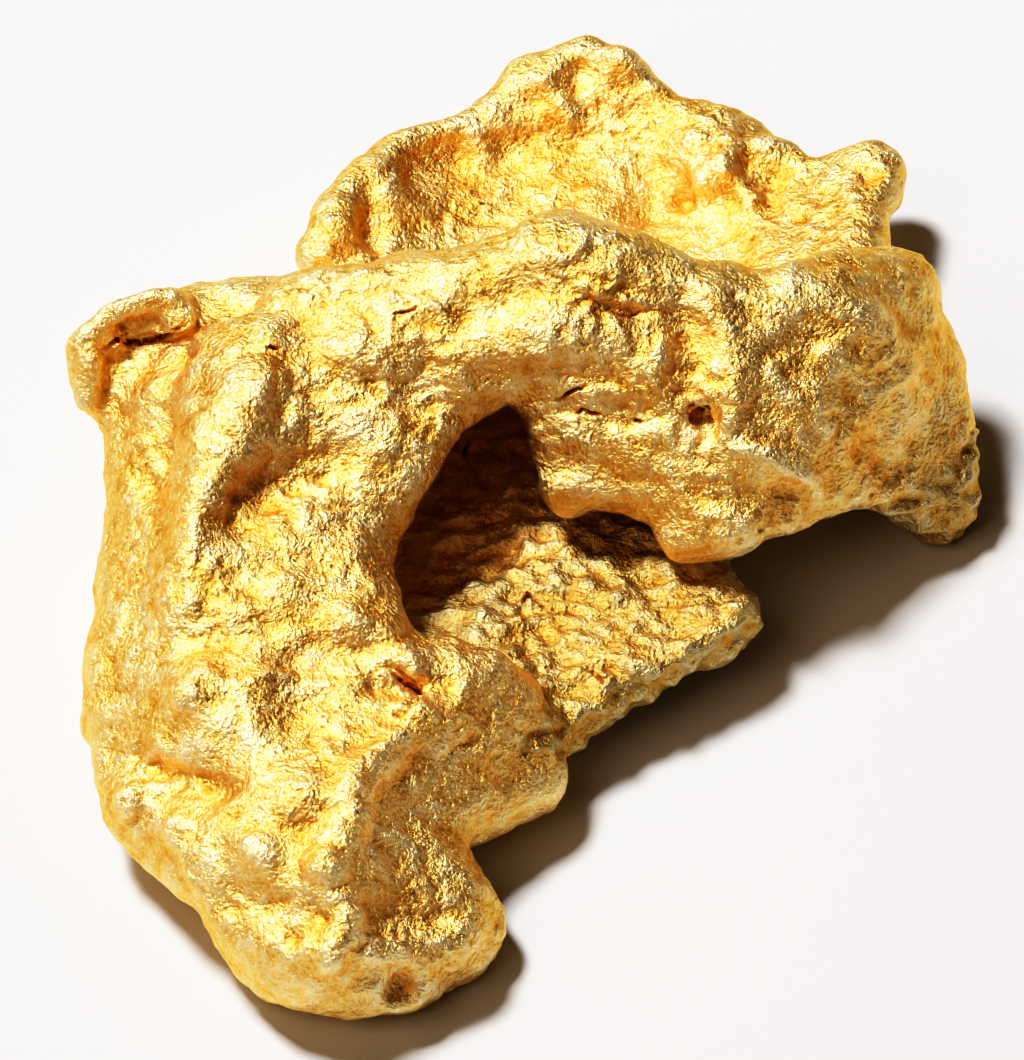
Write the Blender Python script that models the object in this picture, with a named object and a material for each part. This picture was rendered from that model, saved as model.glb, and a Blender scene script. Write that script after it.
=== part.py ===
"""A natural gold nugget, one solid of native gold about 30 mm long, 23 mm wide and 8.8 mm high.

The nugget is laid out in the plane of its broad face, in millimetres: ACROSS to the right, UP the
face and OUT of the face. Each form is a row or a sheet of round lumps, and neighbouring lumps are
hulled together. The fused body is worked with strokes that raise ridges and press creases into
it, then leaned back until the broad face looks up at FACE_LEAN above the horizon, which is how
the nugget lies. Its underside is worn flat where it touches z = 0.
"""

import math

import bmesh
import bpy
import numpy as np
from mathutils import Matrix, Vector, noise
from mathutils.bvhtree import BVHTree

MM = 0.001

# Driving dimensions, in millimetres and degrees
FACE_LEAN = 52
LIP_RADIUS = 0.36
PLATE_HALF = 0.55
TONGUE_HALF = 0.5
WORN_FLAT = 0.03
GRAIN = 0.2
TRIANGLES = 9200


# Forms: rows of lumps (across, up, out, radius) in millimetres


def loft(first, second):
    """A sheet between two rows: each hull takes two neighbouring lumps from either row."""
    return [first[i : i + 2] + second[i : i + 2] for i in range(len(first) - 1)]


def chain(row):
    """A limb along one row: each hull takes two neighbouring lumps."""
    return [row[i : i + 2] for i in range(len(row) - 1)]


def front_wall():
    """The arched wall: a crest, a bulging middle and the lip that overhangs the hollow."""
    crest = [
        (-5.2, 5.2, 4.0, 1.2),
        (-3.0, 5.6, 4.1, 1.3),
        (-1.0, 5.9, 4.2, 1.2),
        (0.9, 6.6, 4.2, 1.4),
        (2.6, 6.0, 4.0, 1.5),
        (4.6, 5.5, 3.8, 1.4),
        (6.4, 5.0, 3.6, 1.3),
        (7.9, 5.3, 3.0, 1.5),
        (9.4, 5.65, 1.1, 1.45),
        (10.1, 4.9, 0.1, 1.25),
    ]
    middle = [
        (-5.4, 3.6, 4.6, 1.4),
        (-3.2, 4.2, 4.6, 1.4),
        (-1.2, 4.4, 4.5, 1.3),
        (0.9, 4.4, 4.4, 1.4),
        (2.8, 3.6, 4.3, 1.3),
        (4.6, 3.2, 4.3, 1.4),
        (6.4, 3.2, 4.1, 1.4),
        (8.4, 3.3, 2.3, 1.6),
        (10.0, 3.8, 0.6, 1.45),
        (10.4, 2.6, 0.6, 1.25),
    ]
    lip = [
        (1.3, 2.9, 4.0, 1.1),
        (2.3, 1.5, 4.1, 0.9),
        (4.8, 1.0, 4.3, 1.15),
        (5.4, 0.4, 4.3, 1.12),
        (7.2, 1.1, 3.6, 1.15),
        (8.9, 1.5, 2.2, 1.05),
        (10.85, 0.7, 0.65, 0.98),
    ]
    return (
        loft(crest, middle)
        + loft(middle[3:], lip)
        + chain(lip)
        + [[(1.3, 1.2, 4.1, 0.65), lip[1], lip[0]], [middle[9], lip[5], lip[6]]]
        + [[(8.6, 1.5, 2.2, 1.0), (10.8, 1.6, 0.8, 0.95), lip[6]]]
        + [[(4.35, 0.1, 4.3, 0.85), lip[2], lip[3]]]
        + [[(-0.95, 3.15, 4.5, 0.6), (-2.4, 2.9, 4.6, 1.0), middle[2]]]
    )


def left_limb():
    """The thick limb from the arch down to the lower lobe, with its steep outer side."""
    outer = [
        (-9.1, 4.0, 2.8, 0.9),
        (-9.3, 2.0, 3.3, 1.0),
        (-9.3, -0.4, 4.3, 1.0),
        (-9.55, -2.8, 5.5, 1.15),
        (-9.2, -5.5, 6.8, 1.1),
        (-9.05, -6.9, 7.6, 1.2),
        (-7.5, -8.3, 9.4, 1.15),
    ]
    spine = [
        (-6.7, 4.2, 4.8, 1.2),
        (-6.9, 2.6, 5.5, 1.25),
        (-7.4, 0.4, 6.1, 1.35),
        (-7.6, -2.4, 7.0, 1.4),
        (-6.8, -4.6, 8.2, 1.5),
        (-6.0, -6.6, 9.2, 1.5),
        (-5.4, -8.4, 10.2, 1.3),
    ]
    inner = [
        (-4.0, 4.0, 4.6, 1.3),
        (-2.4, 2.7, 4.7, 1.25),
        (-3.5, 0.7, 5.3, 1.3),
        (-4.0, -1.0, 5.9, 1.25),
        (-3.5, -2.6, 7.2, 1.25),
        (-3.2, -4.3, 8.4, 1.0),
        (-4.2, -6.4, 9.6, 1.2),
    ]
    base = [
        (-8.3, 1.4, 0.4, 0.9),
        (-8.9, -0.5, 1.6, 0.95),
        (-9.0, -2.2, 2.9, 0.95),
        (-9.0, -4.6, 4.9, 1.0),
        (-8.7, -6.6, 6.3, 1.0),
        (-7.4, -8.3, 7.8, 1.15),
    ]
    return loft(outer, spine) + loft(spine, inner) + loft(outer[1:], base)


def lower_lobe():
    """The rounded lobe at the near end, and the knuckle on its right."""
    keel = [(-4.1, -6.4, 9.8, 1.1), (-4.5, -8.4, 10.8, 1.0), (-4.8, -10.1, 11.3, 1.1)]
    rim = [(-1.75, -8.5, 8.7, 0.95), (-1.5, -9.6, 9.1, 1.15), (-2.9, -10.8, 10.0, 1.2)]
    heel = [(-7.1, -8.4, 9.6, 1.2), (-6.0, -9.7, 10.3, 1.1), (-5.0, -10.8, 10.7, 1.15)]
    foot = [(-7.1, -8.3, 7.8, 1.1), (-6.1, -9.5, 8.6, 1.0), (-5.1, -10.6, 9.4, 1.05)]
    knuckle = [
        (-1.8, -3.3, 7.3, 1.0),
        (-0.6, -4.1, 7.0, 1.0),
        (0.2, -5.4, 6.6, 1.0),
        (0.55, -6.2, 6.6, 0.97),
    ]
    flank = [
        (-3.2, -4.3, 8.4, 1.0),
        (-3.0, -5.4, 8.8, 1.0),
        (-2.5, -6.5, 8.4, 1.0),
        (-2.2, -7.3, 8.5, 0.9),
    ]
    belly = [
        (-6.0, -5.8, 6.8, 1.2),
        (-3.0, -6.0, 7.0, 1.1),
        (-2.6, -8.2, 8.2, 1.0),
        (-4.6, -8.2, 8.6, 1.2),
        (-4.0, -10.9, 9.8, 1.1),
    ]
    return (
        loft(keel, rim)
        + loft(heel, keel)
        + loft(heel, foot)
        + loft(knuckle, flank)
        + [[keel[0], flank[0], flank[3], rim[0]]]
        + [[keel[2], rim[2], heel[2], belly[4]]]
        + [[keel[1], rim[0], rim[1], rim[2], belly[2], belly[4]], [heel[1], heel[2], *belly[3:]]]
        + [[keel[0], keel[1], *belly[:4]], [heel[0], heel[1], belly[0], belly[3]]]
        + [[flank[1], flank[2], belly[1], belly[2]], [belly[0], belly[1], (-4.0, -4.4, 5.6, 1.2)]]
    )


def back_plate():
    """The low dished plate behind the arch, with its raised and knobbly rim."""
    half = PLATE_HALF
    rim = [
        (-4.9, 7.0, -2.6, 0.8),
        (-4.5, 7.9, -3.2, 0.8),
        (-3.4, 8.9, -4.2, 0.6),
        (-2.5, 9.7, -4.8, 0.6),
        (-1.3, 10.1, -5.2, 0.6),
        (-0.4, 10.6, -5.8, 0.6),
        (0.6, 11.5, -6.2, 0.75),
        (1.9, 12.0, -6.4, 0.8),
        (2.9, 11.5, -6.2, 0.75),
        (3.7, 10.4, -5.9, 0.8),
        (5.2, 9.9, -5.4, 0.9),
        (6.5, 9.4, -5.1, 0.85),
        (7.7, 9.0, -4.8, 0.8),
        (9.1, 9.2, -4.5, 0.95),
    ]
    floor = [
        (-4.2, 6.8, -3.0, half),
        (-3.6, 7.4, -3.5, half),
        (-2.7, 8.1, -4.2, half),
        (-1.8, 8.6, -4.8, half),
        (-0.8, 9.0, -5.3, half),
        (-0.1, 9.5, -5.7, half),
        (0.7, 9.8, -5.9, half + 0.1),
        (1.7, 9.9, -6.0, half + 0.1),
        (2.7, 9.5, -5.8, half + 0.1),
        (3.6, 8.8, -5.6, half),
        (5.0, 8.2, -4.9, half + 0.2),
        (6.4, 7.8, -4.1, half + 0.2),
        (7.6, 7.6, -3.6, half + 0.2),
        (8.8, 7.8, -3.2, half + 0.2),
    ]
    root = [
        (-4.4, 4.6, -1.2, 0.8),
        (-4.0, 4.6, -1.6, 0.8),
        (-3.2, 4.7, -2.2, 0.8),
        (-2.4, 4.8, -2.6, 0.8),
        (-1.4, 5.0, -2.8, 0.8),
        (-0.4, 5.2, -3.0, 0.8),
        (0.4, 5.2, -3.0, 0.8),
        (1.4, 5.2, -3.0, 0.8),
        (2.4, 5.1, -3.0, 0.8),
        (3.4, 5.0, -3.0, 0.8),
        (4.6, 5.0, -2.8, 0.8),
        (5.8, 5.0, -2.2, 0.9),
        (7.0, 5.0, -1.4, 0.9),
        (8.6, 5.2, -0.6, 0.9),
    ]
    foot = [(3.2, 7.4, -4.9, 0.75), (4.6, 7.4, -4.9, 0.75), (5.0, 6.2, -3.4, 0.9)]
    return loft(rim, floor) + loft(floor, root) + [foot]


def back_wall():
    """The steep back of the arch, from the crest down to the root of the plate."""
    crest = [
        (-5.2, 5.0, 3.6, 1.0),
        (-2.6, 5.6, 3.9, 1.0),
        (0.9, 6.3, 3.9, 1.2),
        (3.6, 5.6, 3.6, 1.2),
        (6.4, 5.0, 3.2, 1.2),
        (9.0, 5.4, 1.6, 1.4),
    ]
    root = [
        (-5.4, 4.4, 0.0, 1.0),
        (-3.0, 4.6, -2.2, 0.9),
        (0.6, 5.2, -3.0, 0.8),
        (3.6, 5.0, -3.0, 0.8),
        (6.4, 5.0, -2.0, 0.9),
        (8.8, 5.0, -0.8, 0.9),
    ]
    return loft(crest, root)


def tongue():
    """The thin tongue in the hollow: it ends in a broken edge and joins the back wall."""
    half = TONGUE_HALF
    edge = [
        (-2.6, -4.4, 5.4, 0.7),
        (0.2, -4.7, 6.2, half),
        (1.3, -4.95, 6.1, 0.3),
        (2.0, -4.25, 5.9, 0.25),
        (3.1, -3.6, 5.6, 0.25),
        (4.3, -3.15, 5.2, 0.25),
        (5.2, -2.5, 4.8, 0.25),
        (5.85, -1.95, 4.3, 0.25),
    ]
    under = [
        (-2.4, -4.6, 5.1, 0.7),
        (0.3, -4.9, 5.8, half),
        (1.5, -5.35, 5.6, 0.3),
        (2.2, -4.7, 5.2, 0.25),
        (3.3, -4.15, 4.9, 0.25),
        (4.4, -3.7, 4.4, 0.25),
        (5.4, -3.0, 4.0, 0.25),
        (5.95, -2.1, 3.7, 0.25),
    ]
    middle = [
        (-3.4, -1.4, 2.8, 0.8),
        (-1.8, -1.2, 2.8, 0.7),
        (-0.4, -1.2, 2.9, 0.6),
        (0.8, -1.0, 2.9, 0.6),
        (2.0, -1.0, 3.0, 0.6),
        (3.2, -0.8, 3.0, half),
        (4.4, -0.9, 3.0, half),
        (5.3, -1.2, 3.1, 0.4),
    ]
    root = [
        (-4.0, 3.4, -0.6, 1.0),
        (-2.8, 3.5, -1.0, 0.9),
        (-1.4, 3.6, -1.6, 0.9),
        (0.2, 3.7, -1.8, 0.8),
        (1.6, 3.8, -2.0, 0.8),
        (3.0, 3.6, -1.8, 0.8),
        (4.4, 3.4, -1.4, 0.7),
        (5.8, 3.2, -0.8, 0.7),
    ]
    floor = [
        (-5.6, -4.4, 5.6, 1.2),
        (-5.6, -2.4, 4.1, 1.2),
        (-5.4, -0.4, 2.5, 1.2),
        (-5.2, 1.6, 0.9, 1.2),
        (-5.0, 3.2, -0.4, 1.1),
    ]
    wall = [
        (-8.2, -4.6, 5.7, 1.2),
        (-8.2, -2.8, 4.4, 1.2),
        (-8.0, -0.6, 2.8, 1.2),
        (-7.8, 1.4, 1.2, 1.2),
        (-6.9, 3.0, -0.2, 1.0),
    ]
    ledge = [edge[0], (-3.2, -2.8, 4.0, 0.9), middle[0], (-3.8, 1.2, 1.0, 1.0), root[0]]
    slabs = [a + b + c for a, b, c in zip(chain(edge), chain(under), chain(middle))]
    return slabs + loft(middle, root) + loft(ledge, floor) + loft(floor, wall)


def shoulder():
    """The shoulder on the upper left, between the rolled lip and the arch."""
    rim = [
        (-9.7, 4.2, 2.6, 0.6),
        (-8.9, 5.3, 2.5, 0.6),
        (-7.4, 5.55, 2.2, 0.7),
        (-5.9, 5.7, 2.0, 0.7),
    ]
    body = [
        (-9.3, 2.2, 2.9, 0.95),
        (-8.6, 3.2, 2.9, 0.9),
        (-6.9, 4.0, 3.0, 1.0),
        (-5.4, 4.6, 3.0, 1.0),
    ]
    foot = [
        (-8.6, -0.5, 1.6, 1.0),
        (-8.2, 1.6, 0.2, 0.9),
        (-6.9, 3.0, -0.6, 0.9),
        (-5.2, 4.0, -1.0, 0.9),
    ]
    return loft(rim, body) + loft(body, foot)


def rolled_lip():
    """The small lip rolled over the shoulder's edge."""
    radius = LIP_RADIUS
    roll = [
        (-10.65, 2.95, 3.5, radius - 0.02),
        (-10.8, 3.8, 3.7, radius),
        (-10.6, 4.8, 3.9, radius + 0.04),
        (-10.0, 5.5, 4.0, radius + 0.08),
        (-9.2, 5.8, 4.0, radius + 0.14),
        (-8.5, 5.75, 3.9, radius + 0.04),
    ]
    under = [
        (-10.0, 3.0, 3.0, 0.6),
        (-10.1, 3.8, 2.9, 0.6),
        (-9.9, 4.5, 2.9, 0.6),
        (-9.5, 4.9, 2.8, 0.6),
        (-9.0, 5.2, 2.7, 0.6),
        (-8.5, 5.3, 2.6, 0.6),
    ]
    return chain(roll) + loft(roll, under)


def left_bump():
    """The bump low on the left, which touches the ground."""
    return chain([(-9.95, -4.85, 4.9, 1.0), (-8.6, -4.0, 5.2, 1.2), (-8.0, -2.0, 4.4, 1.2)])


FORMS = (
    front_wall,
    left_limb,
    lower_lobe,
    back_plate,
    back_wall,
    tongue,
    shoulder,
    rolled_lip,
    left_bump,
)

# Strokes on the broad face: height in millimetres (below zero presses in), reach, and the line
# they follow as (across, up) points. A line with one point is a round lump or pit.

WALL_STROKES = (
    (-0.2, 0.9, ((-1.3, 5.4), (0.0, 5.8), (1.2, 6.0), (2.4, 5.6), (3.4, 5.3))),
    (0.2, 1.2, ((0.4, 5.0), (1.5, 4.8), (2.6, 4.6), (3.5, 4.4))),
    (-0.16, 0.7, ((-0.6, 3.8), (0.8, 4.0), (2.0, 3.9))),
    (-0.2, 0.6, ((1.2, 3.0), (2.2, 2.8), (3.6, 2.8))),
    (0.15, 0.9, ((2.0, 2.2), (3.6, 2.2))),
    (-0.15, 0.7, ((1.2, 1.8), (2.4, 1.4))),
    (-0.28, 0.9, ((4.2, 5.2), (4.2, 4.2), (4.3, 3.4))),
    (0.3, 0.9, ((5.0, 5.7), (5.3, 4.6), (5.45, 3.6), (5.3, 2.4))),
    (-0.75, 0.6, ((4.7, 2.75),)),
    (-0.25, 1.1, ((7.4, 4.4), (8.2, 3.2))),
    (0.25, 0.8, ((7.0, 6.1), (8.0, 5.7), (9.0, 5.1), (9.7, 4.2))),
    (0.2, 0.6, ((5.8, 1.9), (6.6, 1.7), (7.4, 1.3))),
    (-0.2, 0.8, ((5.2, 0.9), (6.6, 0.7))),
    (-0.2, 0.8, ((8.8, 2.0), (9.6, 1.4))),
    (0.3, 1.0, ((-4.0, 4.7),)),
    (-0.1, 0.8, ((-4.9, 3.7), (-3.6, 3.5))),
    (-0.25, 0.9, ((-2.3, 4.4), (-2.2, 3.2))),
)

LIMB_STROKES = (
    (-0.35, 1.3, ((-4.6, 1.8), (-5.6, 1.2), (-6.7, 0.5))),
    (-0.25, 1.0, ((-6.4, -2.6), (-7.8, -2.8))),
    (0.3, 1.0, ((-6.8, 3.2), (-7.3, 2.0), (-7.9, 0.8), (-8.1, -0.4), (-8.1, -1.5))),
    (-0.35, 0.6, ((-8.3, 4.4), (-8.5, 3.4), (-8.5, 2.4), (-8.9, 1.4))),
    (0.22, 0.9, ((-4.1, -0.4),)),
    (0.35, 0.9, ((-4.0, -2.4),)),
    (0.2, 1.0, ((-5.3, -1.4),)),
    (-0.35, 0.7, ((-5.2, -3.2), (-3.4, -3.1))),
    (0.35, 1.2, ((-8.1, -4.1),)),
    (-0.3, 0.9, ((-9.7, -5.7), (-8.6, -6.0), (-7.6, -6.3))),
    (0.4, 0.8, ((-9.5, -6.7),)),
    (0.25, 0.9, ((-8.2, -7.3),)),
    (-0.25, 0.7, ((-9.3, -8.0), (-8.6, -8.2))),
)

LOBE_STROKES = (
    (-0.4, 1.4, ((-5.4, -4.6), (-4.4, -4.3), (-3.5, -4.6))),
    (-0.5, 0.6, ((-3.4, -3.7), (-2.5, -4.0))),
    (0.3, 0.8, ((-2.5, -3.1),)),
    (0.35, 0.7, ((-2.2, -4.5), (-3.0, -5.3), (-3.8, -6.3), (-4.1, -7.2), (-4.6, -8.2))),
    (0.3, 0.6, ((-4.6, -8.2), (-4.0, -9.6), (-4.4, -10.6))),
    (0.3, 1.2, ((-5.3, -6.5),)),
    (0.28, 1.1, ((-6.2, -8.0),)),
    (-0.3, 0.8, ((-6.9, -6.2), (-7.0, -5.2))),
    (-0.35, 0.8, ((-6.7, -9.2), (-5.0, -9.4))),
    (-0.35, 0.5, ((-5.5, -10.0),)),
    (-0.6, 0.6, ((-2.8, -11.2),)),
    (-0.25, 0.8, ((-3.1, -9.6), (-1.8, -9.6))),
    (0.2, 0.6, ((-3.3, -10.4), (-1.4, -10.3))),
    (0.3, 0.9, ((-1.4, -3.3),)),
)

PLATE_STROKES = (
    (-0.12, 2.2, ((0.6, 9.4),)),
    (-0.4, 0.9, ((-2.4, 9.2), (-1.5, 9.6))),
    (0.25, 1.0, ((-4.6, 7.9),)),
    (-0.3, 0.6, ((-3.6, 8.5), (-3.5, 7.3))),
    (0.25, 0.9, ((-2.8, 8.4),)),
    (0.45, 1.6, ((5.2, 9.1),)),
    (-0.45, 0.5, ((4.3, 8.5),)),
    (-0.45, 0.5, ((6.4, 8.8),)),
    (-0.35, 0.5, ((5.15, 10.0),)),
    (0.3, 0.6, ((2.75, 11.9),)),
    (0.28, 0.6, ((0.9, 11.5), (1.5, 10.5))),
    (-0.35, 0.6, ((1.8, 11.8),)),
    (-0.35, 0.6, ((9.1, 9.2),)),
)

SHOULDER_STROKES = (
    (-0.32, 0.36, ((-10.3, 3.2), (-10.3, 3.8), (-10.15, 4.4), (-9.7, 4.9))),
    (-0.35, 0.36, ((-9.7, 4.9), (-9.0, 5.0), (-8.2, 5.15))),
    (0.2, 1.0, ((-9.1, 3.5),)),
    (-0.22, 0.8, ((-8.6, 2.6), (-8.9, 1.2))),
    (0.2, 1.0, ((-9.6, 0.3),)),
    (-0.25, 0.8, ((-6.9, 5.0),)),
)


def add_hull(bm, lumps):
    """Adds the convex hull of a few round lumps."""
    for across, up, out, radius in lumps:
        place = Matrix.Translation(Vector((across, up, out)) * MM)
        bmesh.ops.create_icosphere(bm, subdivisions=2, radius=radius * MM, matrix=place)
    bmesh.ops.delete(bm, geom=bm.edges[:], context="EDGES_FACES")
    hull = bmesh.ops.convex_hull(bm, input=bm.verts[:])
    inside = {v for v in hull["geom_interior"] if isinstance(v, bmesh.types.BMVert)}
    bmesh.ops.delete(bm, geom=list(inside), context="VERTS")


def fuse_forms(name):
    """All hulls in one object, fused by a voxel remesh and softened."""
    bm = bmesh.new()
    for form in FORMS:
        for lumps in form():
            hull = bmesh.new()
            add_hull(hull, lumps)
            mesh = bpy.data.meshes.new("hull")
            hull.to_mesh(mesh)
            hull.free()
            bm.from_mesh(mesh)
            bpy.data.meshes.remove(mesh)
    mesh = bpy.data.meshes.new(name)
    bm.to_mesh(mesh)
    bm.free()
    nugget = bpy.data.objects.new(name, mesh)
    bpy.context.scene.collection.objects.link(nugget)
    fuse = nugget.modifiers.new("fuse", "REMESH")
    fuse.mode = "VOXEL"
    fuse.voxel_size = GRAIN * MM
    soften = nugget.modifiers.new("soften", "SMOOTH")
    soften.factor = 0.5
    soften.iterations = 6
    return nugget


def apply_modifiers(nugget):
    """Bakes the modifiers into the mesh."""
    depsgraph = bpy.context.evaluated_depsgraph_get()
    depsgraph.update()
    mesh = bpy.data.meshes.new_from_object(nugget.evaluated_get(depsgraph))
    old = nugget.data
    nugget.modifiers.clear()
    nugget.data = mesh
    bpy.data.meshes.remove(old)
    mesh.name = nugget.name


def spots_along(line, step):
    """Points along a line of (across, up) corners, no further apart than one step."""
    spots = [Vector(line[0])]
    for start, end in zip(line[:-1], line[1:]):
        a, b = Vector(start), Vector(end)
        count = max(1, math.ceil((b - a).length / step))
        spots += [a.lerp(b, i / count) for i in range(1, count + 1)]
    return spots


def work(mesh, strokes):
    """Raises or presses the broad face along each stroke."""
    count = len(mesh.vertices)
    places = np.empty(count * 3, np.float32)
    normals = np.empty(count * 3, np.float32)
    for height, reach, line in strokes:
        mesh.vertices.foreach_get("co", places)
        mesh.vertex_normals.foreach_get("vector", normals)
        co = places.reshape(-1, 3)
        no = normals.reshape(-1, 3)
        bm = bmesh.new()
        bm.from_mesh(mesh)
        tree = BVHTree.FromBMesh(bm)
        bm.free()
        weight = np.zeros(count, np.float32)
        for spot in spots_along(line, reach / 3):
            drift = noise.noise_vector(Vector((spot.x, spot.y, reach))) * 0.3 * reach
            start = Vector((spot.x + drift.x, spot.y + drift.y, 40)) * MM
            hit, facing, _, _ = tree.ray_cast(start, Vector((0, 0, -1)))
            if hit is None:
                continue
            gap = np.linalg.norm(co - np.array(hit, np.float32), axis=1) / (reach * MM)
            bell = np.clip(1 - gap**2, 0, 1) ** 2
            side = np.clip(no @ np.array(facing, np.float32) + 0.3, 0, 1)
            weight = np.maximum(weight, bell * side)
        co += no * (weight * height * MM)[:, None]
        mesh.vertices.foreach_set("co", co.ravel())
        mesh.update()


def roughen(mesh, size, height, back_height, seed):
    """Lumps of natural unevenness all over, of another height on the back."""
    shift = Vector((seed * 7.31, seed * 3.17, seed * 5.71))
    for vert, normal in zip(mesh.vertices, [n.vector.copy() for n in mesh.vertex_normals]):
        back = min(max(0.3 - normal.z, 0.0), 1.0)
        lift = noise.noise(vert.co / (size * MM) + shift)
        lift *= height + (back_height - height) * back
        vert.co += normal * (lift * MM)
    mesh.update()


def wear_underside(mesh):
    """Flattens what lies at or below the ground."""
    for vert in mesh.vertices:
        if vert.co.z < WORN_FLAT * MM:
            vert.co.z = 0.0
    mesh.update()


def centre(mesh):
    """Moves the middle of the footprint over the origin."""
    xs = [v.co.x for v in mesh.vertices]
    ys = [v.co.y for v in mesh.vertices]
    middle = Vector((-(min(xs) + max(xs)) / 2, -(min(ys) + max(ys)) / 2, 0))
    mesh.transform(Matrix.Translation(middle))


def gold():
    """Native gold: a rich yellow metal with a frosted, river-worn finish."""
    material = bpy.data.materials.new("native_gold")
    material.use_nodes = True
    shader = material.node_tree.nodes["Principled BSDF"]
    shader.inputs["Base Color"].default_value = (0.83, 0.55, 0.17, 1.0)
    shader.inputs["Metallic"].default_value = 1.0
    shader.inputs["Roughness"].default_value = 0.4
    return material


def main():
    for obj in list(bpy.data.objects):
        bpy.data.objects.remove(obj)
    nugget = fuse_forms("gold_nugget")
    apply_modifiers(nugget)
    mesh = nugget.data
    for strokes in (WALL_STROKES, LIMB_STROKES, LOBE_STROKES):
        work(mesh, strokes)
    for strokes in (PLATE_STROKES, SHOULDER_STROKES):
        work(mesh, strokes)
    roughen(mesh, 3.4, 0.25, 0.9, 1)
    roughen(mesh, 1.5, 0.16, 0.35, 2)
    mesh.transform(Matrix.Rotation(math.radians(90 - FACE_LEAN), 4, "X"))
    wear_underside(mesh)
    thin = nugget.modifiers.new("thin", "DECIMATE")
    thin.ratio = TRIANGLES / (2 * len(mesh.polygons))
    apply_modifiers(nugget)
    wear_underside(nugget.data)
    centre(nugget.data)
    nugget.data.materials.append(gold())


main()
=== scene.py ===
"""A natural gold nugget on pale paper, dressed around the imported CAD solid.

The CAD solid is copied, refined and worked like the real metal: folds, creases, cracks, pits and
a frosted grain. Strokes are laid out on the nugget's broad face, in millimetres: across to the
right, up the face, and out of it. The face looks up at FACE_LEAN above the horizon.
"""

import math

import bmesh
import bpy
import numpy as np
from mathutils import Matrix, Vector, noise
from mathutils.bvhtree import BVHTree
from mathutils.kdtree import KDTree

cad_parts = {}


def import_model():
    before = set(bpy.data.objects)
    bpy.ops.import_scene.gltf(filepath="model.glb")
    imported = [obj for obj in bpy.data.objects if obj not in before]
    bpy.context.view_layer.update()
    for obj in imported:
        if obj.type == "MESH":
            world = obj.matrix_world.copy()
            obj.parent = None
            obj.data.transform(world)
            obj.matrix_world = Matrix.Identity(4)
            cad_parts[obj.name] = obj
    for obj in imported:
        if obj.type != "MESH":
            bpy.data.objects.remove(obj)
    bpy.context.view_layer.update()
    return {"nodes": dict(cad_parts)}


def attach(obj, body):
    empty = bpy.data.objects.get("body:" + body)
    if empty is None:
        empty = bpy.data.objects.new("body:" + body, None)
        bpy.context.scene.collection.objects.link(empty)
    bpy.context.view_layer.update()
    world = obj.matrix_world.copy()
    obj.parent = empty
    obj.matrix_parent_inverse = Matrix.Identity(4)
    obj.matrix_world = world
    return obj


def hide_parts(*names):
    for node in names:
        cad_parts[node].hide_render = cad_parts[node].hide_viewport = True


MM = 0.001
FACE_LEAN = math.radians(52)
FACE_CENTRE = (-0.290, 1.117)  # where the broad face's axes start on the ground, in millimetres
ABOVE = 40  # a height over the broad face, in millimetres, that is clear of all metal
VOXEL = 0.105  # the width of the fine mesh's faces, in millimetres
TRIANGLES = 194000  # about as many as the finished nugget may have

# Strokes: height in millimetres (below zero presses in), reach, and the line they follow.

CREASES = (
    # the arch: a fold and its upper edge, the deep pit, the dip under it and a small pit
    (-0.08, 0.24, ((1.9, 5.85), (2.6, 5.5), (2.95, 5.38), (3.4, 5.45))),
    (0.12, 0.3, ((1.8, 6.05), (2.6, 5.75), (3.2, 5.65), (3.7, 5.3))),
    (-0.5, 0.38, ((4.65, 2.85),)),
    (-0.2, 0.4, ((4.85, 2.3),)),
    (-0.15, 0.25, ((5.55, 5.85),)),
    # the right lobe: a ridge and small pits
    (0.12, 0.3, ((5.8, 1.95), (6.4, 1.85), (7.0, 1.4), (7.6, 1.2), (7.6, 0.8))),
    (-0.14, 0.18, ((6.2, 0.0),)),
    (-0.12, 0.18, ((5.7, -0.25),)),
    (-0.12, 0.16, ((4.9, 0.05),)),
    (-0.14, 0.18, ((9.0, 0.85),)),
    # the short crease above the knuckle, and its hook
    (-0.3, 0.28, ((-3.0, -3.4), (-2.6, -3.75), (-2.3, -4.0))),
    (-0.2, 0.2, ((-2.3, -4.0), (-2.5, -4.3), (-2.8, -4.5))),
    # the pit at the end of the lower lobe
    (-0.15, 0.42, ((-3.0, -11.45), (-2.65, -11.3))),
    # the rolled lip, made fuller
    (0.5, 0.6, ((-10.1, 4.8), (-9.5, 5.2), (-8.6, 5.3))),
    (0.4, 0.5, ((-10.0, 5.1), (-9.3, 5.25), (-8.3, 5.35))),
    (0.25, 0.5, ((-10.5, 4.2), (-10.6, 3.3))),
    # the limb's swellings and the dip between them
    (0.25, 0.9, ((-6.2, 3.7), (-6.4, 2.8), (-6.8, 2.0))),
    (0.14, 0.7, ((-7.6, 1.0), (-6.6, 1.8), (-5.6, 2.4))),
    (-0.12, 0.8, ((-7.3, -0.3), (-6.4, 0.6), (-5.5, 1.1), (-4.8, 1.4))),
    # the knuckle's ridge, and a dip on the limb beside it
    (0.3, 0.8, ((-0.5, -3.4), (-1.2, -4.2), (-2.0, -4.9))),
    (-0.12, 1.0, ((-6.6, -1.2), (-5.6, -0.6), (-4.8, -2.2))),
    # lumps and saddles on the lower left
    (0.25, 0.55, ((-9.5, -6.7),)),
    (-0.25, 0.55, ((-8.8, -5.9), (-8.2, -6.1))),
    (0.2, 0.6, ((-8.1, -4.1),)),
    (0.12, 0.6, ((-8.3, -7.3),)),
    (0.1, 0.6, ((-7.1, -7.6), (-6.2, -8.2))),
    (0.12, 0.8, ((-5.0, -6.5),)),
    (-0.12, 0.6, ((-6.3, -7.2), (-5.6, -7.4))),
    (-0.12, 0.6, ((-7.6, -6.4), (-7.3, -6.8))),
)

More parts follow.
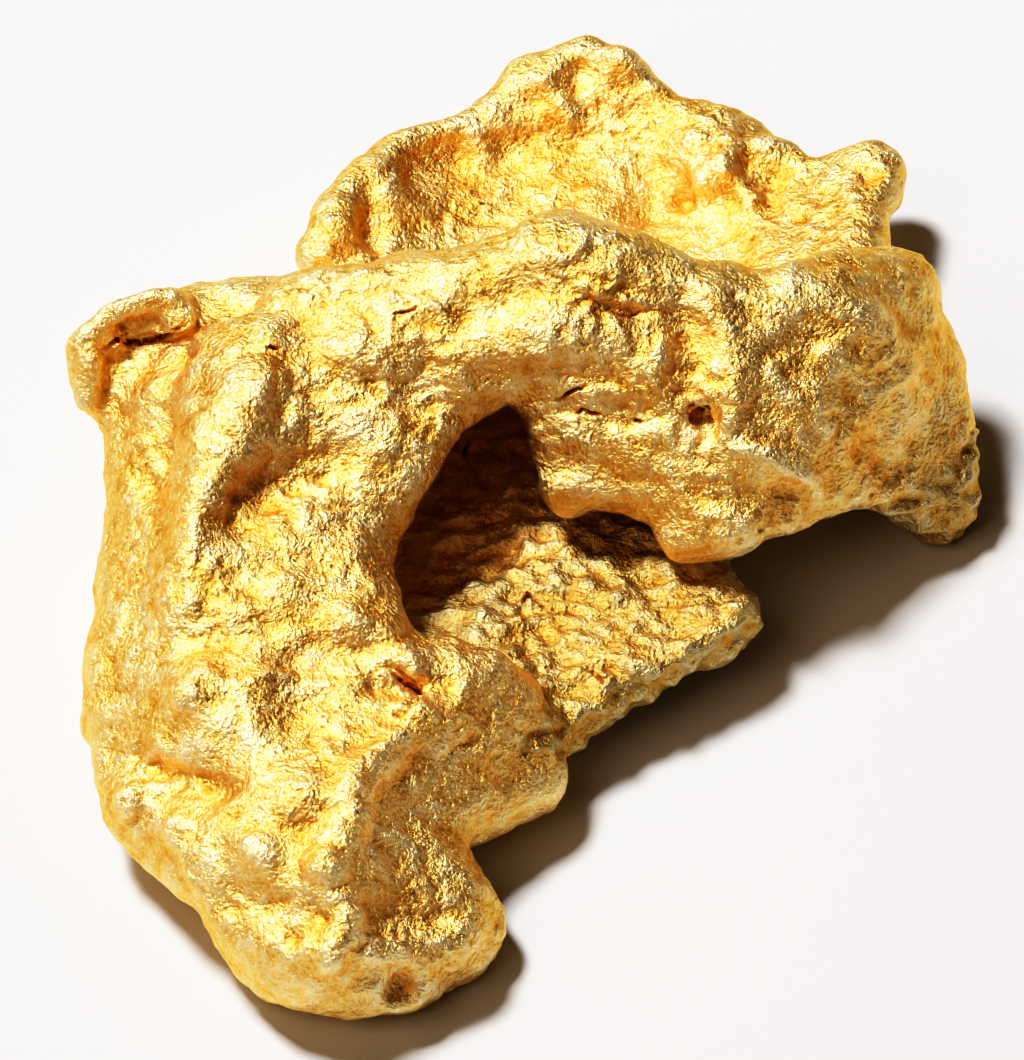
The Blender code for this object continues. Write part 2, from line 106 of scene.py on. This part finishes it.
CRACKS = (
    # the arch's face, its fold, the upper limb, the left shoulder, the hollow's edge, the crest
    (-0.22, 0.07, ((1.0, 3.25), (1.25, 3.27), (1.5, 3.45), (1.9, 3.6))),
    (-0.18, 0.065, ((1.55, 2.85), (1.75, 3.0), (2.0, 2.9), (2.3, 2.85))),
    (-0.2, 0.07, ((3.0, 2.75), (3.25, 2.7))),
    (-0.12, 0.06, ((2.45, 5.45), (2.9, 5.35), (3.3, 5.45))),
    (-0.15, 0.07, ((-6.05, 4.55), (-5.75, 4.53))),
    (-0.14, 0.06, ((-2.95, 5.4), (-2.6, 5.45), (-2.3, 5.6))),
    (-0.18, 0.07, ((-1.2, 1.8), (-1.15, 2.1), (-1.0, 2.3))),
    (-0.16, 0.07, ((-0.7, 7.15), (-0.35, 7.2), (0.05, 7.35))),
    # the tongue
    (-0.15, 0.07, ((0.2, -1.9), (0.4, -1.6), (0.9, -2.0))),
    (-0.15, 0.07, ((0.8, -3.4), (1.3, -3.45))),
    (-0.15, 0.07, ((2.0, -3.5), (2.3, -3.8))),
    # the deep pit's upper edge, the gap under the rolled lip, the crease above the knuckle
    (-0.25, 0.1, ((4.4, 2.8), (4.5, 3.05), (4.85, 3.05), (5.0, 2.6))),
    (-0.2, 0.09, ((-10.3, 4.4), (-9.9, 4.75), (-9.3, 4.7), (-8.7, 4.85), (-8.0, 5.2))),
    (-0.2, 0.08, ((-3.0, -3.5), (-2.6, -3.8), (-2.25, -4.05), (-2.5, -4.4))),
)
JAG = 0.5  # how far a crack strays from its line, as a share of its reach
JAG_PACE = 9  # how quickly it strays
JAG_SEED = 7  # without one, noise_vector starts from the clock and strays anew each run

# Roughness: height in millimetres, grain size across, up and out of the face, seed, and kind.

COARSENESS = (1.6, (2.2, 1.8, 2.2), 31, "plain")
FOLDS = (0.065, (1.3, 1.0, 1.3), 21, "ridge")
WRINKLES = (0.035, (0.9, 0.36, 0.8), 22, "ridge")
KNOBS = (0.06, (0.6, 0.45, 0.6), 23, "plain")
GRAIN = (0.05, (0.3, 0.24, 0.3), 24, "plain")
PEBBLES = (0.16, (0.5, 0.3, 0.5), 25, "plain")
LUMPS = (0.35, (0.8, 0.7, 0.8), 26, "plain")
SEED_STEP = (7.31, 3.17, 5.71)
DRIFT = 0.35  # how far slow noise carries a pattern, as a share of the noise's own size

# Places on the broad face, in millimetres.

LIMB_SIDE, LIMB_FOOT, LIMB_HEAD = -7.9, -3.0, 4.5
LUMPS_CENTRE, LUMPS_REACH, PLATE_TOP = (5.6, 9.3), 1.0, 3
LIP = ((-10.7, 3.4), (-10.2, 4.9), (-9.4, 5.4), (-8.3, 5.4))
LIP_REACH = 0.9
LIP_SMOOTHNESS = 0.65  # how much of the roughness the rolled lip goes without
TONGUE_HEIGHT, TONGUE_SLOPE = 3.5, 0.85
TONGUE_LEFT, TONGUE_FOOT, TONGUE_HEAD = -2.8, -5.6, 2.5
TONGUE_COVER = 0.7  # what lies further over the tongue's mean surface belongs to the arch
PAINTED_TONGUE_SHADE_SLOPE, PAINTED_TONGUE_SHADE_EDGE = 0.53, 0.6  # the line across the tongue where the painted shade starts

HOLLOW_DEPTH = 0.12  # the depth under the surroundings that gets the full painted shade, in millimetres
CRACK_SHADE = 1.6  # how much painted shade the deepest part of a crack gets

# The gold's colour from pale to dark, what makes it darker (random patches and wrinkles, and
# painted shade in hollows and cracks), and the grey of the painted shade on the tongue's open end.

GOLD = (
    (0.0, (1.0, 0.82, 0.46)),
    (0.2, (0.98, 0.685, 0.25)),
    (0.45, (0.86, 0.47, 0.1)),
    (0.7, (0.6, 0.25, 0.03)),
    (1.0, (0.22, 0.07, 0.01)),
)
TONE = 0.8
# the hollow share paints shade into the colour: darker in hollows and cracks, paler on crests; the
# other shares vary the tone at random
PATCH_SHARE, HOLLOW_SHADE_SHARE, WRINKLE_SHARE, GRAIN_SHARE = 0.75, 0.33, -0.95, -0.9
EDGE_TINT = (1.0, 0.75, 0.35, 1)
# the grey that paints shade on the tongue's open end
PAINTED_TONGUE_SHADE = (0.64, 0.66, 0.66, 1)
PAPER = (0.74, 0.75, 0.78, 1)
PAPER_WIDTH = 0.8

# Lights: direction from the nugget, distance and width in metres, power in watts, and colour.

KEY = ((-0.41, 0.28, 1.0), 0.35, 0.07, 2.3, (1.0, 0.975, 0.95))
FILL = ((-0.6, -0.5, 1.0), 0.5, 0.3, 0.7, (1.0, 0.75, 0.49))
SURROUND = (1.0, 0.55, 0.25, 1)
SURROUND_STRENGTH = 0.055

# The picture's curve: light in the scene, and how bright it shows, up to the white level.

FILM = ((0.05, 0.013), (0.2, 0.1), (0.5, 0.375), (0.8, 0.63), (1.2, 0.87), (1.7, 0.975))
WHITE_LEVEL = 2.5

LENS = 543
CAMERA_DISTANCE = 0.404


def face_to_row():
    """The move from the broad face's own plane, in metres, to the row frame."""
    lean = Matrix.Rotation(math.pi / 2 - FACE_LEAN, 4, "X")
    return Matrix.Translation(Vector((*FACE_CENTRE, 0)) * MM) @ lean


def bake(nugget):
    """Replaces the nugget's mesh with what its modifiers make of it."""
    rough = nugget.data
    depsgraph = bpy.context.evaluated_depsgraph_get()
    made = bpy.data.meshes.new_from_object(nugget.evaluated_get(depsgraph))
    nugget.modifiers.clear()
    nugget.data = made
    bpy.data.meshes.remove(rough)


def copy_solid(node, name):
    """The CAD solid as a new object, in the plane of its broad face, finely meshed and smooth."""
    bm = bmesh.new()
    bm.from_mesh(node.data)
    bmesh.ops.remove_doubles(bm, verts=bm.verts[:], dist=1e-7)
    bmesh.ops.transform(bm, matrix=node.matrix_world, verts=bm.verts[:])
    bmesh.ops.transform(bm, matrix=face_to_row().inverted(), verts=bm.verts[:])
    mesh = bpy.data.meshes.new(name)
    bm.to_mesh(mesh)
    bm.free()
    nugget = bpy.data.objects.new(name, mesh)
    bpy.context.scene.collection.objects.link(nugget)
    fuse = nugget.modifiers.new("fuse", "REMESH")
    fuse.mode = "VOXEL"
    fuse.voxel_size = VOXEL * MM
    soften = nugget.modifiers.new("soften", "SMOOTH")
    soften.factor = 0.5
    soften.iterations = 10
    bake(nugget)
    return nugget


def thin(nugget):
    """Fewer triangles where the metal is smooth."""
    whole = len(nugget.data.polygons) * 2  # nearly all of them are quads
    cut = nugget.modifiers.new("thin", "DECIMATE")
    cut.ratio = min(1.0, TRIANGLES / whole)
    bake(nugget)


def arrays(mesh):
    """Vertex places in millimetres, and normals."""
    places = np.empty(len(mesh.vertices) * 3, np.float32)
    normals = np.empty(len(mesh.vertices) * 3, np.float32)
    mesh.vertices.foreach_get("co", places)
    mesh.vertex_normals.foreach_get("vector", normals)
    return places.reshape(-1, 3) / MM, normals.reshape(-1, 3)


def put(mesh, co):
    """Writes vertex places given in millimetres."""
    mesh.vertices.foreach_set("co", (co * MM).astype(np.float32).ravel())
    mesh.update()


def store(mesh, name, values):
    """Keeps one number for each vertex as an attribute."""
    layer = mesh.attributes.new(name, "FLOAT", "POINT")
    layer.data.foreach_set("value", values.astype(np.float32))


def rise(values, start, width):
    """Zero up to the start, and one from the width beyond it."""
    return np.clip((values - start) / width, 0, 1)


def fall(values, end, width):
    """One up to the width before the end, and zero beyond the end."""
    return np.clip((end - values) / width, 0, 1)


def spots_along(line, step):
    """Points along a line of (across, up) corners, no further apart than one step."""
    spots = [Vector(line[0])]
    for start, end in zip(line[:-1], line[1:]):
        a, b = Vector(start), Vector(end)
        count = max(1, math.ceil((b - a).length / step))
        spots += [a.lerp(b, i / count) for i in range(1, count + 1)]
    return spots


def look_down(tree, across, up):
    """Where a line straight down on the broad face meets the metal, and its normal there."""
    start = Vector((across, up, ABOVE)) * MM
    hit, facing, _, _ = tree.ray_cast(start, Vector((0, 0, -1)))
    return hit, facing


def calm(nugget):
    """Smooths the limb's outer side, which is worn even."""
    co, _ = arrays(nugget.data)
    share = fall(co[:, 0], LIMB_SIDE, width=0.5)
    share *= rise(co[:, 1], LIMB_FOOT, width=0.8) * fall(co[:, 1], LIMB_HEAD, width=0.5)
    group = nugget.vertex_groups.new(name="calm")
    for index in np.flatnonzero(share):
        group.add([int(index)], float(share[index]), "REPLACE")
    ease = nugget.modifiers.new("ease", "SMOOTH")
    ease.factor = 0.5
    ease.iterations = 90
    ease.vertex_group = group.name
    bake(nugget)
    nugget.vertex_groups.clear()


def work(mesh, strokes):
    """Raises or presses the broad face along each stroke, and not what faces away from it."""
    co, no = arrays(mesh)
    bm = bmesh.new()
    bm.from_mesh(mesh)
    tree = BVHTree.FromBMesh(bm)
    bm.free()
    for height, reach, line in strokes:
        weight = np.zeros(len(co), np.float32)
        for spot in spots_along(line, reach / 3):
            hit, facing = look_down(tree, spot.x, spot.y)
            if hit is None:
                continue
            gap = np.linalg.norm(co - np.array(hit) / MM, axis=1) / reach
            bell = np.clip(1 - gap**2, 0, 1) ** 2
            side = np.clip(no @ np.array(facing) + 0.3, 0, 1)
            weight = np.maximum(weight, bell * side)
        co += no * (weight * height)[:, None]
    put(mesh, co)


def crack_spots(tree, height, reach, line):
    """Places and normals on the metal along a crack, which strays a little from its line."""
    hits = []
    for spot in spots_along(line, reach / 4):
        jag = noise.noise_vector(Vector((spot.x, spot.y, height)) * JAG_PACE) * JAG * reach
        hit, facing = look_down(tree, spot.x + jag.x, spot.y + jag.y)
        if hit is not None:
            hits.append((hit, facing))
    return hits


def divide(bm, near, distance):
    """Cuts each edge near some spots in two."""
    fine = [
        edge
        for edge in bm.edges
        if near.find((edge.verts[0].co + edge.verts[1].co) / 2)[2] < distance
    ]
    bmesh.ops.subdivide_edges(bm, edges=fine, cuts=1, use_grid_fill=True)
    bmesh.ops.triangulate(bm, faces=[f for f in bm.faces if len(f.verts) > 4])


def crack(mesh, strokes):
    """Opens thin cracks, on faces that are divided finely around them.

    A crack runs out over its first and last quarter. The attribute "crack" keeps how deep each
    vertex lies in one, from zero to one.
    """
    noise.seed_set(JAG_SEED)
    bm = bmesh.new()
    bm.from_mesh(mesh)
    tree = BVHTree.FromBMesh(bm)
    depth = bm.verts.layers.float.new("crack")
    for height, reach, line in strokes:
        hits = crack_spots(tree, height, reach, line)
        if not hits:
            continue
        near = KDTree(len(hits))
        for index, (hit, _) in enumerate(hits):
            near.insert(hit, index)
        near.balance()
        for width in (3.0, 2.0):
            divide(bm, near, width * reach * MM)
        for vert in bm.verts:
            _, index, gap = near.find(vert.co)
            if gap < reach * MM:
                taper = min(1.0, 4 * (index + 1) / len(hits), 4 * (len(hits) - index) / len(hits))
                share = taper * (1 - gap / (reach * MM))
                vert[depth] = max(vert[depth], share)
                vert.co += hits[index][1] * (height * MM * share)
    bm.to_mesh(mesh)
    bm.free()
    mesh.update()


def sample(co, scale, seed, kind):
    """One noise value for each place, at a grain size in millimetres for each axis."""
    shift = seed * np.array(SEED_STEP)
    spots = co / np.array(scale) + shift
    if kind == "ridge":
        values = [1 - 2 * abs(noise.noise(Vector(p))) for p in spots]
    else:
        values = [noise.noise(Vector(p)) for p in spots]
    return np.array(values, np.float32)


def relief(layer, co, *weights):
    """The height of one layer of roughness at each place, times its weights there."""
    height, scale, seed, kind = layer
    for weight in weights:
        height = height * weight
    return height * sample(co, scale, seed, kind)


def swell(co, scale, seed):
    """Places carried about by slow noise, so that finer patterns bend and never repeat."""
    moved = co.copy()
    for axis in range(3):
        moved[:, axis] += scale * DRIFT * sample(co, (scale,) * 3, seed + axis, "plain")
    return moved


def on_lip(co):
    """One on the rolled lip, fading to zero beside it."""
    gaps = [np.hypot(co[:, 0] - spot.x, co[:, 1] - spot.y) for spot in spots_along(LIP, 0.3)]
    return np.clip(2 - 2 * np.min(gaps, axis=0) / LIP_REACH, 0, 1)


def on_tongue(co):
    """One on the tongue, which slopes toward its broken edge, and zero elsewhere."""
    across, up, out = co.T
    surface = TONGUE_HEIGHT - TONGUE_SLOPE * (up + 1)
    under = fall(out, surface + TONGUE_COVER, width=0.2)
    return under * (across > TONGUE_LEFT) * (up > TONGUE_FOOT) * (up < TONGUE_HEAD)


def roughen(mesh):
    """Folds, wrinkles and grain all over, the tongue's pebbles and the plate's lumps."""
    co, no = arrays(mesh)
    warped = swell(co, scale=1.6, seed=11)
    front = np.clip(no[:, 2] * 1.5, 0.2, 1)
    coarse = np.clip(0.75 + relief(COARSENESS, co), 0.2, 1.5)
    lift = relief(FOLDS, warped)
    lift += relief(WRINKLES, warped, front, coarse)
    lift += relief(KNOBS, warped)
    lift += relief(GRAIN, warped, coarse)
    lift += relief(PEBBLES, co, on_tongue(co))
    gap = np.hypot(co[:, 0] - LUMPS_CENTRE[0], co[:, 1] - LUMPS_CENTRE[1])
    lift += relief(LUMPS, co, fall(gap, 2 * LUMPS_REACH, LUMPS_REACH), co[:, 2] < PLATE_TOP)
    lift *= 1 - LIP_SMOOTHNESS * on_lip(co)
    co += no * lift[:, None]
    put(mesh, co)


def paint_hollow_shade(mesh, rounds=10):
    """Keeps painted shade for each vertex: the further it lies below its surroundings, and the
    deeper in a crack, the darker; above them, paler.
    """
    co, no = arrays(mesh)
    edges = np.empty(len(mesh.edges) * 2, np.int64)
    mesh.edges.foreach_get("vertices", edges)
    a, b = edges.reshape(-1, 2).T
    count = np.bincount(np.concatenate((a, b)), minlength=len(co))[:, None]
    smooth = co.copy()
    for _ in range(rounds):
        total = np.zeros_like(smooth)
        np.add.at(total, a, smooth[b])
        np.add.at(total, b, smooth[a])
        smooth = 0.5 * smooth + 0.5 * total / count
    depth = ((smooth - co) * no).sum(axis=1) / HOLLOW_DEPTH
    opened = np.empty(len(co), np.float32)
    mesh.attributes["crack"].data.foreach_get("value", opened)
    # painted shade: darker in hollows and cracks, paler on crests
    store(mesh, "painted_hollow_shade", np.clip(depth, -1, 2) + CRACK_SHADE * opened)


def mark_painted_tongue_shade(mesh):
    """Keeps where the tongue's open end gets painted shade, from zero to one."""
    co, _ = arrays(mesh)
    open_end = rise(PAINTED_TONGUE_SHADE_SLOPE * co[:, 0] - co[:, 1], PAINTED_TONGUE_SHADE_EDGE, width=0.8)
    store(mesh, "painted_tongue_shade", on_tongue(co) * open_end)


def feed(tree, socket, value):
    """Links a socket to another node's output, or sets it to a plain value."""
    if isinstance(value, bpy.types.NodeSocket):
        tree.links.new(value, socket)
    else:
        socket.default_value = value


def add(tree, kind, **inputs):
    """A shader node with its inputs linked or set."""
    node = tree.nodes.new(kind)
    for key, value in inputs.items():
        feed(tree, node.inputs[key.replace("_", " ")], value)
    return node


def attribute(tree, name):
    """A number kept on the mesh."""
    node = tree.nodes.new("ShaderNodeAttribute")
    node.attribute_name = name
    return node


def weighed_sum(tree, total, parts):
    """A starting value plus a share of each part."""
    for part, share in parts:
        node = tree.nodes.new("ShaderNodeMath")
        node.operation = "MULTIPLY_ADD"
        feed(tree, node.inputs[0], part.outputs["Fac"])
        feed(tree, node.inputs[1], share)
        feed(tree, node.inputs[2], total)
        total = node.outputs[0]
    return total


def ramp(tree, value, stops):
    """A colour ramp over a value."""
    node = tree.nodes.new("ShaderNodeValToRGB")
    tree.links.new(value, node.inputs["Fac"])
    band = node.color_ramp
    while len(band.elements) < len(stops):
        band.elements.new(0.5)
    for element, (place, colour) in zip(band.elements, stops):
        element.position = place
        element.color = (*colour, 1.0)
    return node.outputs["Color"]


def bump(tree, height, distance, strength, under=None):
    """A bump of one height pattern, over an earlier one where there is one."""
    node = add(tree, "ShaderNodeBump", Height=height, Distance=distance * MM, Strength=strength)
    if under is not None:
        tree.links.new(under.outputs["Normal"], node.inputs["Normal"])
    return node


def gold_material():
    """Frosted native gold, deeper in random patches, with painted shade: darker in hollows and
    cracks, paler on crests, and greyed on the tongue's open end.
    """
    material = bpy.data.materials.new("native_gold")
    material.use_nodes = True
    tree = material.node_tree
    shader = tree.nodes["Principled BSDF"]
    shader.inputs["Metallic"].default_value = 1.0
    shader.inputs["Specular Tint"].default_value = EDGE_TINT
    place = tree.nodes.new("ShaderNodeTexCoord").outputs["Object"]
    clouds = "ShaderNodeTexNoise"
    patch = add(tree, clouds, Vector=place, Scale=800.0, Detail=3.0)
    wrinkle = add(
        tree, clouds, Vector=place, Scale=2800.0, Detail=5.0, Roughness=0.62, Distortion=0.3
    )
    grain = add(tree, clouds, Vector=place, Scale=9500.0, Detail=3.0, Roughness=0.65)
    facet = add(tree, "ShaderNodeTexVoronoi", Vector=place, Scale=7000.0)
    tone = weighed_sum(
        tree,
        TONE,
        (
            (patch, PATCH_SHARE),
            # painted shade in hollows and cracks
            (attribute(tree, "painted_hollow_shade"), HOLLOW_SHADE_SHARE),
            (wrinkle, WRINKLE_SHARE),
            (grain, GRAIN_SHARE),
        ),
    )
    tint = tree.nodes.new("ShaderNodeMix")
    tint.data_type = "RGBA"
    tint.blend_type = "MULTIPLY"
    # painted shade on the tongue's open end
    feed(tree, tint.inputs["Factor"], attribute(tree, "painted_tongue_shade").outputs["Fac"])
    feed(tree, tint.inputs["A"], ramp(tree, tone, GOLD))
    feed(tree, tint.inputs["B"], PAINTED_TONGUE_SHADE)
    rough = add(
        tree,
        "ShaderNodeMapRange",
        Value=grain.outputs["Fac"],
        From_Min=0.3,
        From_Max=0.7,
        To_Min=0.26,
        To_Max=0.55,
    )
    folds = bump(tree, wrinkle.outputs["Fac"], distance=0.13, strength=1.0)
    frost = bump(tree, grain.outputs["Fac"], distance=0.05, strength=1.0, under=folds)
    crystals = bump(tree, facet.outputs["Distance"], distance=0.02, strength=0.8, under=frost)
    feed(tree, shader.inputs["Base Color"], tint.outputs["Result"])
    feed(tree, shader.inputs["Roughness"], rough.outputs["Result"])
    feed(tree, shader.inputs["Normal"], crystals.outputs["Normal"])
    return material


def paper_floor():
    """A wide plain floor of matt white paper."""
    bpy.ops.mesh.primitive_plane_add(size=PAPER_WIDTH)
    floor = bpy.context.object
    floor.name = "paper"
    material = bpy.data.materials.new("paper")
    material.use_nodes = True
    tree = material.node_tree
    shader = tree.nodes["Principled BSDF"]
    place = tree.nodes.new("ShaderNodeTexCoord").outputs["Object"]
    fibre = add(tree, "ShaderNodeTexNoise", Vector=place, Scale=1500.0, Detail=5.0)
    shader.inputs["Base Color"].default_value = PAPER
    shader.inputs["Roughness"].default_value = 0.9
    felt = bump(tree, fibre.outputs["Fac"], distance=0.02, strength=0.5)
    feed(tree, shader.inputs["Normal"], felt.outputs["Normal"])
    floor.data.materials.append(material)
    return floor


def area_light(name, toward, distance, width, power, colour):
    """A square soft light that shines on the nugget from one direction."""
    light = bpy.data.lights.new(name, "AREA")
    light.size = width
    light.energy = power
    light.color = colour
    lamp = bpy.data.objects.new(name, light)
    direction = Vector(toward).normalized()
    lamp.location = direction * distance
    lamp.rotation_mode = "QUATERNION"
    lamp.rotation_quaternion = direction.to_track_quat("Z", "Y")
    bpy.context.scene.collection.objects.link(lamp)


def studio():
    """A small key light behind on the left, a wide warm fill in front, and a dim warm surround."""
    area_light("key", *KEY)
    area_light("fill", *FILL)
    world = bpy.data.worlds.new("surround")
    bpy.context.scene.world = world
    world.use_nodes = True
    sky = world.node_tree.nodes["Background"]
    sky.inputs["Color"].default_value = SURROUND
    sky.inputs["Strength"].default_value = SURROUND_STRENGTH


def film():
    """A picture curve that deepens the shadows and lets the highlights roll off."""
    view = bpy.context.scene.view_settings
    view.view_transform = "Standard"
    view.use_curve_mapping = True
    mapping = view.curve_mapping
    mapping.white_level = (WHITE_LEVEL,) * 3
    curve = mapping.curves[3]
    for light, shown in FILM:
        curve.points.new(light / WHITE_LEVEL, shown)
    mapping.update()


def camera():
    """A long close-up lens that looks straight at the broad face."""
    data = bpy.data.cameras.new("camera")
    data.lens = LENS
    data.clip_start = 0.01
    eye = bpy.data.objects.new("camera", data)
    back = Vector((0, -math.cos(FACE_LEAN), math.sin(FACE_LEAN)))
    aim = Vector((*FACE_CENTRE, 0)) * MM
    eye.location = aim + back * CAMERA_DISTANCE
    eye.rotation_mode = "QUATERNION"
    eye.rotation_quaternion = back.to_track_quat("Z", "Y")
    bpy.context.scene.collection.objects.link(eye)
    bpy.context.scene.camera = eye


def main():
    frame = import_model()
    nugget = copy_solid(frame["nodes"]["gold_nugget"], "nugget")
    calm(nugget)
    work(nugget.data, CREASES)
    roughen(nugget.data)
    crack(nugget.data, CRACKS)
    thin(nugget)
    paint_hollow_shade(nugget.data)
    mark_painted_tongue_shade(nugget.data)
    nugget.data.transform(face_to_row())
    for vert in nugget.data.vertices:
        vert.co.z = max(vert.co.z, 0.0)  # roughness stops at the paper
    nugget.data.polygons.foreach_set("use_smooth", [True] * len(nugget.data.polygons))
    nugget.data.materials.append(gold_material())
    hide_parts("gold_nugget")
    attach(nugget, "root")
    paper_floor()
    studio()
    film()
    camera()


main()
